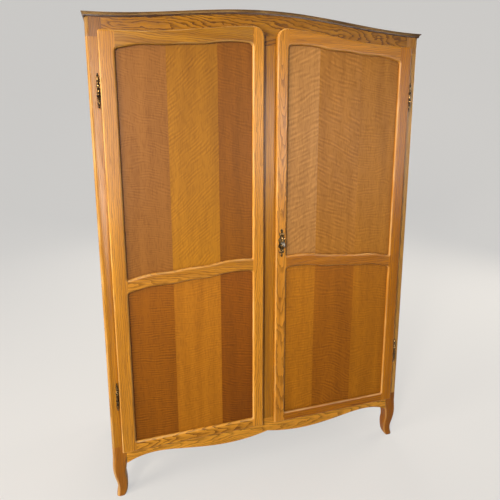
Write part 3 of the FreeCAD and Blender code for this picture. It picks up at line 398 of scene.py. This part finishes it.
def hinges(bronze):
    """Turned pin hinges with finials: lower halves and leaves on the case, upper ones on the doors."""
    joints = {joint["name"]: joint for joint in frame["record"]["behaviour"]["joints"]}
    pin_x, pin_y = joints["right_door_swing"]["pos_m"][:2]
    heights = (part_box("hinges_case")[0][2] + HALF_HINGE * MM,
               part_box("hinges_right_door")[1][2] - HALF_HINGE * MM)
    for node, (body, way, leaf, sides) in HINGES.items():
        work = bmesh.new()
        for side in sides:
            for height in heights:
                place = Vector((side * pin_x, pin_y, height))
                turned(work, SPINDLE, place, way)
                corners = [place + Vector((side * x, y, z)) * MM for x, y, z in leaf]
                low, high = (Vector(pick(values) for values in zip(*corners)) for pick in (min, max))
                slab(work, low, high, LEAF_SOFT * MM)
        fit(node + "_turned", work, [bronze], "dark_bronze", body, node)


# Upper right quarter of the edges of the lock plate and of its shield, and the right half of the keyhole,
# measured from the middle of the keyhole in millimetres
PLATE_EDGE = [(0.0, 60.0), (3.4, 57.0), (5.0, 52.0), (3.0, 46.5), (4.6, 42.5), (9.6, 41.0), (11.8, 36.5),
              (9.4, 31.5), (7.2, 27.5), (8.8, 22.5), (13.6, 18.5), (15.4, 13.0), (13.8, 7.0), (12.4, 0.0)]
SHIELD_EDGE = [(0.0, 19.0), (4.0, 15.5), (7.6, 13.0), (8.6, 7.0), (7.4, 0.0)]
SHIELD_RISE = 0.3
KEYHOLE = [(0.0, 3.5), (2.5, 2.5), (3.5, 0.0), (2.4, -2.8), (2.2, -8.3)]

# Cast beads on the plate: x, height and radius, and the outline of one in shares of its radius
PLATE_BEADS = [(0.0, 52.5, 2.8), (0.0, 36.5, 4.4), (8.0, 36.5, 2.6), (0.0, 26.5, 3.4), (11.6, 13.0, 2.8)]
BEAD = [(0.0, -0.2), (1.0, -0.2), (1.0, 0.1), (0.86, 0.42), (0.52, 0.7), (0.0, 0.8)]


def both_ends(upper):
    """The right half of an outline from its upper part, whose last point is at the middle height."""
    return upper + [(x, -z) for x, z in reversed(upper[:-1])]


def whole(half):
    """A closed outline from its right half, whose ends may lie on the middle line."""
    return half + [(-x, z) for x, z in reversed(half) if x]


def cast_sheet(work, edges, place, thick, soft):
    """Add a flat casting that faces the front: an outline with a hole, and rounded arrises."""
    shape = bpy.data.curves.new("casting", "CURVE")
    shape.dimensions, shape.fill_mode, shape.resolution_u = "2D", "BOTH", 5
    shape.extrude, shape.offset = (thick / 2 - soft) * MM, -soft * MM
    shape.bevel_depth, shape.bevel_resolution = soft * MM, 2
    for points in edges:
        spline = shape.splines.new("BEZIER")
        spline.bezier_points.add(len(points) - 1)
        spline.use_cyclic_u = True
        for knot, (x, z) in zip(spline.bezier_points, points):
            knot.co = (x * MM, z * MM, 0.0)
            knot.handle_left_type = knot.handle_right_type = "AUTO"
    flat = bpy.data.objects.new("casting", shape)
    mesh = bpy.data.meshes.new_from_object(flat)
    mesh.transform(Matrix.Translation(place) @ Matrix.Rotation(QUARTER, 4, "X"))
    work.from_mesh(mesh)
    bpy.data.objects.remove(flat)
    bpy.data.curves.remove(shape)
    bpy.data.meshes.remove(mesh)


def lock_plate(bronze):
    """Cast lock plate with lobes, a raised shield round the keyhole and beads."""
    low, high = (Vector(corner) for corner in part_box("escutcheon"))
    middle = (low + high) / 2
    raised = Vector((middle.x, low.y - SHIELD_RISE * MM, middle.z))
    hole = whole(KEYHOLE)
    work = bmesh.new()
    cast_sheet(work, (whole(both_ends(PLATE_EDGE)), hole), middle, thick=2.0, soft=0.7)
    cast_sheet(work, (whole(both_ends(SHIELD_EDGE)), hole), raised, thick=1.0, soft=0.4)
    for x, z, radius in PLATE_BEADS:
        outline = [(radius * share, radius * rise) for share, rise in BEAD]
        for spot_x, spot_z in {(x, z), (-x, z), (x, -z), (-x, -z)}:
            spot = Vector((middle.x + spot_x * MM, low.y, middle.z + spot_z * MM))
            turned(work, outline, spot, "-y", 12)
    fit("lock_plate_cast", work, [bronze], "dark_bronze", "right_door", "escutcheon")


# The key's stem with its collars, from the end in the lock out to the bow: radius and height in millimetres
KEY_STEM = [(0.0, 0.0), (2.4, 0.0), (3.0, 0.8), (3.0, 37.2), (3.6, 37.8), (4.4, 38.6), (4.4, 39.6),
            (3.5, 40.4), (3.0, 41.2), (3.8, 42.2), (4.2, 43.4), (3.8, 44.6), (2.9, 45.6), (2.5, 48.0),
            (2.6, 51.0), (0.0, 51.6)]

# Its bit as two corners from that end, and the ring and the wire of its bow
KEY_BIT = [(-1.2, -9.5, -6.5), (1.2, -2.5, 0.0)]
BIT_SOFT = 0.3
BOW_RADIUS = 9.0
BOW_WIRE = 2.0


def key(steel):
    """Turned key with a round bow in front of the door and its bit in the lock."""
    low, high = (Vector(corner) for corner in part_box("key"))
    back = Vector(((low.x + high.x) / 2, high.y, (low.z + high.z) / 2))
    bow = Vector((back.x, low.y + (BOW_RADIUS + BOW_WIRE) * MM, back.z))
    work = bmesh.new()
    turned(work, KEY_STEM, back, "-y")
    slab(work, *(back + Vector(corner) * MM for corner in KEY_BIT), BIT_SOFT * MM)
    crown = Matrix.Translation(bow + Vector((0.0, 0.0, BOW_RADIUS * MM)))
    wire = bmesh.ops.create_circle(work, segments=12, radius=BOW_WIRE * MM,
                                   matrix=crown @ Matrix.Rotation(QUARTER, 4, "X"))["verts"]
    edges = list({edge for vert in wire for edge in vert.link_edges})
    bmesh.ops.spin(work, geom=wire + edges, axis=(1.0, 0.0, 0.0), cent=bow, angle=4 * QUARTER, steps=40,
                   use_merge=True)
    fit("key_turned", work, [steel], "steel", "key", "key")


# A domed screw head, and half the width and the depth of its slot, in shares of its radius
SCREW_HEAD = [(0.0, -0.2), (1.0, -0.2), (1.0, 0.1), (0.85, 0.34), (0.5, 0.48), (0.0, 0.52)]
SLOT_HALF = 0.15
SLOT_DEPTH = 0.28


def slotted_screw(work, place, axis, radius):
    """Add a domed screw head with an upright slot, standing on place. Radius in millimetres."""
    place = Vector(place)
    before = set(work.faces)
    turned(work, [(radius * share, radius * rise) for share, rise in SCREW_HEAD], place, axis, 16)
    out = LAY[axis].to_3x3() @ Vector((0.0, 0.0, 1.0))
    across = Vector((1.0, 0.0, 0.0)) if "y" in axis else Vector((0.0, 1.0, 0.0))
    half = SLOT_HALF * radius * MM
    for side in (-half, half):
        head = [face for face in work.faces if face not in before]
        cut = {item for face in head for item in (face, *face.verts, *face.edges)}
        bmesh.ops.bisect_plane(work, geom=list(cut), dist=1e-6, plane_co=place + side * across,
                               plane_no=across)
    head = [face for face in work.faces if face not in before]
    bmesh.ops.recalc_face_normals(work, faces=head)
    slot = [face for face in head if face.normal.dot(out) > 0.5
            and abs((face.calc_center_median() - place).dot(across)) < half]
    bmesh.ops.inset_region(work, faces=slot, thickness=0.02 * radius * MM,
                           depth=-SLOT_DEPTH * radius * MM)


def ends(low, high, inset):
    """Places near both ends of a plate, as far inside them as inset says in millimetres."""
    return low + inset * MM, high - inset * MM


def screws(steel):
    """Slotted screws in the lock, its strike plate, the sliding bolts and the rail's sockets.

    A screw is the place that it stands on, the way it faces and the radius of its head.
    """
    low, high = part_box("lock_case")
    lock = [((x, high[1], z), "y", 2.6) for x in ends(low[0], high[0], 4) for z in ends(low[2], high[2], 5)]
    low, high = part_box("left_bolt_plates")
    middle, face = (low[0] + high[0]) / 2, low[1] + 2.5 * MM
    bolts = [((middle + side * 7.8 * MM, face, z), "y", 2.3) for side in (-1, 1)
             for z in (low[2] + 28 * MM, low[2] + 72 * MM, high[2] - 72 * MM, high[2] - 28 * MM)]
    low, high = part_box("strike_plate")
    case = [((high[0], (low[1] + high[1]) / 2, z), "x", 2.2) for z in ends(low[2], high[2], 4)]
    low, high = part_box("rail_sockets")
    for axis, face in zip(("x", "-x"), ends(low[0], high[0], 7)):
        case += [((face, (low[1] + high[1]) / 2, z), axis, 2.0) for z in ends(low[2], high[2], 4)]
    for name, body, places in (("lock_screws", "right_door", lock), ("bolt_screws", "left_door", bolts),
                               ("case_screws", "case", case)):
        work = bmesh.new()
        for place in places:
            slotted_screw(work, *place)
        fit(name, work, [steel], "steel", body)


# The camera: its place in metres, its turns in degrees, and its lens and sensor in millimetres
EYE = (-0.5771, -1.8931, 1.5197)
PAN, TILT, ROLL = -16.62, 79.69, -0.1
LENS, SENSOR, SHIFT = 31.21, 36.0, -0.087


def camera():
    """The photograph's view: from eye height, left of the middle and looking down a little."""
    data = bpy.data.cameras.new("camera")
    data.sensor_width, data.lens, data.shift_y = SENSOR, LENS, SHIFT
    eye = bpy.data.objects.new("camera", data)
    eye.location = EYE
    pan, tilt, roll = (Matrix.Rotation(math.radians(turn), 3, axis)
                       for turn, axis in ((PAN, "Z"), (TILT, "X"), (ROLL, "Z")))
    eye.rotation_euler = (pan @ tilt @ roll).to_euler()
    bpy.context.scene.collection.objects.link(eye)
    bpy.context.scene.camera = eye


# The floor's radius, the height of its rim and the reach of the sweep between them, in metres
FLOOR_RADIUS, RIM_HEIGHT, SWEEP = 6.8, 5.5, 2.4


def stage():
    """A plain pale floor that sweeps up all round, so that it backs the wardrobe from every side."""
    sweep = bmesh.new()
    outline = ((0.0, 0.0, 0.0), (FLOOR_RADIUS, 0.0, 0.0), (FLOOR_RADIUS, 0.0, RIM_HEIGHT))
    places = [sweep.verts.new(place) for place in outline]
    edges = [sweep.edges.new(pair) for pair in zip(places, places[1:])]
    bmesh.ops.spin(sweep, geom=places + edges, axis=(0.0, 0.0, 1.0), cent=(0.0, 0.0, 0.0),
                   angle=4 * QUARTER, steps=96, use_merge=True)
    bmesh.ops.remove_doubles(sweep, verts=sweep.verts, dist=MM)
    fold = [edge for edge in sweep.edges
            if all(vert.co.z < MM and vert.co.xy.length > FLOOR_RADIUS / 2 for vert in edge.verts)]
    bmesh.ops.bevel(sweep, geom=fold, offset=SWEEP, segments=12, profile=0.5, affect="EDGES", material=-1)
    bmesh.ops.recalc_face_normals(sweep, faces=sweep.faces)
    mesh = bpy.data.meshes.new("floor_sweep")
    sweep.to_mesh(mesh)
    sweep.free()
    mesh.shade_smooth()
    floor = bpy.data.objects.new("floor_sweep", mesh)
    bpy.context.scene.collection.objects.link(floor)
    # Seamless paper: even and matt. It shows pale to the eye and in polish, and throws back little light.
    material, tree, shader = new_material("pale_paper")
    path = add(tree, "LightPath")
    seen = add(tree, "Math", {0: path.outputs["Is Camera Ray"], 1: path.outputs["Is Glossy Ray"]},
               operation="MAXIMUM")
    shown = add(tree, "Math", {0: seen.outputs[0], 1: path.outputs["Is Transmission Ray"]},
                operation="MAXIMUM")
    paper = add(tree, "Mix", {0: shown.outputs[0], 6: linear("7c746a"), 7: linear("83817d")},
                data_type="RGBA")
    glow = add(tree, "Math", {0: shown.outputs[0], 1: 0.6}, operation="MULTIPLY")
    tree.links.new(paper.outputs[2], shader.inputs["Base Color"])
    tree.links.new(glow.outputs[0], shader.inputs["Emission Strength"])
    shader.inputs["Emission Color"].default_value = linear("f1f0ee")
    shader.inputs["Roughness"].default_value = 0.8
    shader.inputs["Specular IOR Level"].default_value = 0.1
    mesh.materials.append(material)


MIDDLE = (0.0, -0.25, 1.2)

# Lamps: place, aim and size in metres, power in watts and colour
LAMPS = {
    "front_left": ((-2.7, -3.5, 2.7), (-0.1, -0.25, 1.15), (0.7, 1.7), 31.0, "fff6ea"),
    "side_left": ((-3.3, -1.0, 1.8), MIDDLE, (1.2, 1.8), 95.0, "fff6ea"),
    "fill_right": ((3.6, 0.7, 2.0), (0.6, 0.0, 1.0), (1.6, 2.0), 60.0, "fff6ea"),
    "fill_back": ((0.7, 3.7, 2.4), (0.0, 0.25, 1.0), (2.6, 1.6), 75.0, "fff6ea"),
    "sheen_left": ((-1.3, -4.3, 1.5), MIDDLE, (1.1, 2.3), 260.0, "ffffff"),
    "sheen_right": ((2.2, -4.2, 1.4), MIDDLE, (2.0, 1.5), 185.0, "ffffff"),
}
FRONT_SPREAD = math.radians(70)


def soft_light(name, place, aim, size, power, colour):
    """A broad soft lamp that the camera does not see."""
    data = bpy.data.lights.new(name, "AREA")
    data.shape = "RECTANGLE"
    data.size, data.size_y = size
    data.energy = power
    data.color = linear(colour)[:3]
    lamp = bpy.data.objects.new(name, data)
    lamp.location = place
    lamp.rotation_euler = (Vector(aim) - Vector(place)).to_track_quat("-Z", "Y").to_euler()
    lamp.visible_camera = False
    bpy.context.scene.collection.objects.link(lamp)
    return lamp


def lights():
    """Soft studio light: two lamps on the left, fill on the right and behind, and an even pale world.

    The two sheen lamps show only in polish, where they give the lacquer its shine.
    """
    lamps = {name: soft_light(name, *setting) for name, setting in LAMPS.items()}
    lamps["front_left"].data.spread = FRONT_SPREAD
    for name in ("sheen_left", "sheen_right"):
        lamps[name].visible_diffuse = False
    world = bpy.data.worlds.new("studio")
    world.use_nodes = True
    world.node_tree.nodes["Background"].inputs["Color"].default_value = linear("f4f4f6")
    world.node_tree.nodes["Background"].inputs["Strength"].default_value = 0.36
    bpy.context.scene.world = world
    bpy.context.scene.view_settings.view_transform = "Standard"


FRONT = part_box("post_front_left")[0][1]

# Boards of solid golden oak: tone, axes of the grain, heart, lean, ring, contrast, wander and the nodes
# cut from it
BOARDS = {
    "left_post_oak": ("a76f1b", "z", (-0.52, FRONT + 0.08, 0.9), (0.01, 0.01), 5.0, 0.5, 24.0,
                      ("post_front_left",)),
    "right_post_oak": ("d19b49", "z", (0.52, FRONT + 0.08, 0.9), (0.01, -0.01), 5.0, 0.5, 24.0,
                       ("post_front_right",)),
    "left_head_oak": ("875720", "z", (-0.58, FRONT + 0.03, 1.7), (0.03, 0.02), 4.5, 0.8, 24.0,
                      ("head_front_left",)),
    "right_head_oak": ("b98340", "z", (0.58, FRONT + 0.03, 1.7), (0.03, -0.02), 4.5, 0.8, 24.0,
                       ("head_front_right",)),
    "left_leg_oak": ("a76a21", "z", (0.30, 0.0, 0.2), (0.02, 0.03), 6.0, 0.5, 24.0,
                     ("leg_front_left",)),
    "right_leg_oak": ("a16016", "z", (0.30, 0.0, 0.2), (0.02, 0.03), 6.0, 0.5, 24.0,
                      ("leg_front_right",)),
    "left_outer_stile_oak": ("bf8128", "z", (-0.53, FRONT + 0.06, 0.9), (0.0, 0.01), 4.5, 0.5, 24.0,
                             ("left_door_outer_stile",)),
    "left_inner_stile_oak": ("cf8c2c", "z", (-0.08, FRONT + 0.03, 0.7), (0.02, 0.01), 4.5, 0.55, 24.0,
                             ("left_door_inner_stile",)),
    "right_inner_stile_oak": ("c48228", "z", (0.05, FRONT + 0.02, 1.3), (0.05, 0.0), 4.5, 0.62, 24.0,
                              ("right_door_inner_stile",)),
    "right_outer_stile_oak": ("b67112", "z", (0.53, FRONT + 0.06, 0.9), (0.0, 0.01), 4.5, 0.5, 24.0,
                              ("right_door_outer_stile",)),
    "mullion_oak": ("b2781f", "z", (0.06, FRONT + 0.05, 0.9), (0.0, 0.0), 5.0, 0.45, 20.0,
                    ("mullion",)),
    "frieze_oak": ("a16b17", "x", (-0.06, FRONT + 0.05, 1.87), (0.12, 0.02), 9.0, 1.0, 60.0,
                   ("frieze",)),
    # The front cornice is toned darker than its wood alone, which paints in the shade under its overhang.
    "cornice_oak_with_painted_shade": ("452709", "x", (0.0, 0.1, 1.7), (0.02, 0.0), 6.0, 0.5, 30.0,
                    ("cornice_front",)),
    "cornice_side_oak": ("5c3712", "y", (0.5, 0.1, 1.7), (0.02, 0.0), 6.0, 0.5, 30.0,
                         ("cornice_left", "cornice_right")),
    "left_top_rail_oak": ("a67121", "x", (-0.3, FRONT + 0.04, 1.79), (0.03, 0.02), 5.0, 0.6, 24.0,
                          ("left_door_top_rail",)),
    "right_top_rail_oak": ("be7d24", "x", (0.3, FRONT + 0.05, 1.76), (0.02, -0.03), 5.0, 0.5, 24.0,
                           ("right_door_top_rail",)),
    "left_mid_rail_oak": ("b67a25", "x", (-0.3, FRONT + 0.03, 0.92), (0.05, 0.04), 4.5, 0.65, 24.0,
                          ("left_door_mid_rail",)),
    "right_mid_rail_oak": ("b06f1e", "x", (0.3, FRONT + 0.05, 0.88), (0.02, -0.05), 5.0, 0.5, 24.0,
                           ("right_door_mid_rail",)),
    "left_bottom_rail_oak": ("c78829", "x", (-0.45, FRONT + 0.02, 0.232), (0.1, 0.01), 5.0, 0.95, 30.0,
                             ("left_door_bottom_rail",)),
    "right_bottom_rail_oak": ("a7650e", "x", (0.4, FRONT + 0.06, 0.19), (0.02, -0.02), 5.0, 0.5, 24.0,
                              ("right_door_bottom_rail",)),
    "apron_oak": ("d89732", "x", (-0.2, FRONT + 0.03, 0.185), (0.06, 0.02), 5.5, 0.7, 30.0,
                  ("apron_front",)),
    "side_rail_oak": ("b5782c", "y", (0.0, 0.0, -1.5), (0.02, 0.0), 6.0, 0.5, 30.0,
                      ("side_rails_left", "side_rails_right", "aprons_side", "top_sides")),
    "rear_post_oak": ("b5782c", "z", (1.5, 1.6, 0.9), (0.01, 0.02), 6.0, 0.5, 30.0,
                      ("posts_rear", "legs_rear", "heads_rear")),
    "side_panel_oak": ("a96c24", "z", (0.0, 1.6, 0.5), (0.02, 0.03), 8.0, 0.5, 44.0,
                       ("side_panels_left", "side_panels_right")),
    "inside_oak": ("c99a60", "xyz", (2.0, 1.6, -1.0), (0.02, 0.03), 7.0, 0.5, 22.0,
                   ("floor_boards", "top_boards", "floor_bearers", "top_bearers", "hat_shelf",
                    "apron_rear", "top_rear", "back_frame", "back_panels", "shelf_bearers",
                    "corner_dowels")),
}
for board, (tone, grain, *cut, names) in BOARDS.items():
    oak = {axis: sawn_oak(board + "_" + axis if len(grain) > 1 else board, tone, axis, *cut)
           for axis in grain}
    finish(oak, *names)

# Veneer leaves of the door panels: start, tone, ripples as lean, spacing, bend and strength, and paler
# head, which is partly painted light and shade
VENEERS = {
    "left_door_upper_panel": [(-600, "986123", -8, 10, 90, 0.15, 0.0),
                              (-400, "ab7012", 42, 12, 60, 0.20, -0.35),
                              (-210, "8d530a", -14, 11, 60, 0.17, 0.0)],
    "left_door_lower_panel": [(-600, "94560b", -2, 10, 40, 0.32, 0.3),
                              (-400, "b16f16", 4, 11, 50, 0.17, 0.1),
                              (-210, "864a08", -12, 11, 60, 0.30, 0.35)],
    # The first leaf of the right upper panel is toned paler, which paints in part of a sheen on it.
    "right_door_upper_panel": [(0, "bc8441", 24, 19, 70, 0.20, 0.0),
                               (210, "af7323", -22, 16, 60, 0.22, -0.1),
                               (400, "b1741f", -6, 12, 120, 0.15, -0.12)],
    "right_door_lower_panel": [(0, "b47113", 3, 13, 50, 0.18, 0.12),
                               (210, "9d5d0c", -16, 13, 120, 0.26, 0.22),
                               (400, "af6d10", -4, 12, 90, 0.16, 0.12)],
}
for node, leaves in VENEERS.items():
    foot, head = (corner[2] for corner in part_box(node))
    finish({"z": veneer(node.replace("panel", "veneer"), foot, head, leaves)}, node)

bronze = cast_metal("patinated_bronze", ("1d140c", "8a6a3e"), (0.34, 0.22), stain=6, pit=1.5)
steel = cast_metal("worn_grey_steel", ("6f6c66", "9b978e"), (0.6, 0.46), stain=6, pit=1.2)
paint(steel, "lock_bolt", "lock_case", "strike_plate", "left_bolt_top", "left_bolt_bottom",
      "left_bolt_plates", "hanging_rail", "rail_sockets")
hinges(bronze)
lock_plate(bronze)
key(steel)
screws(steel)

camera()
stage()
lights()
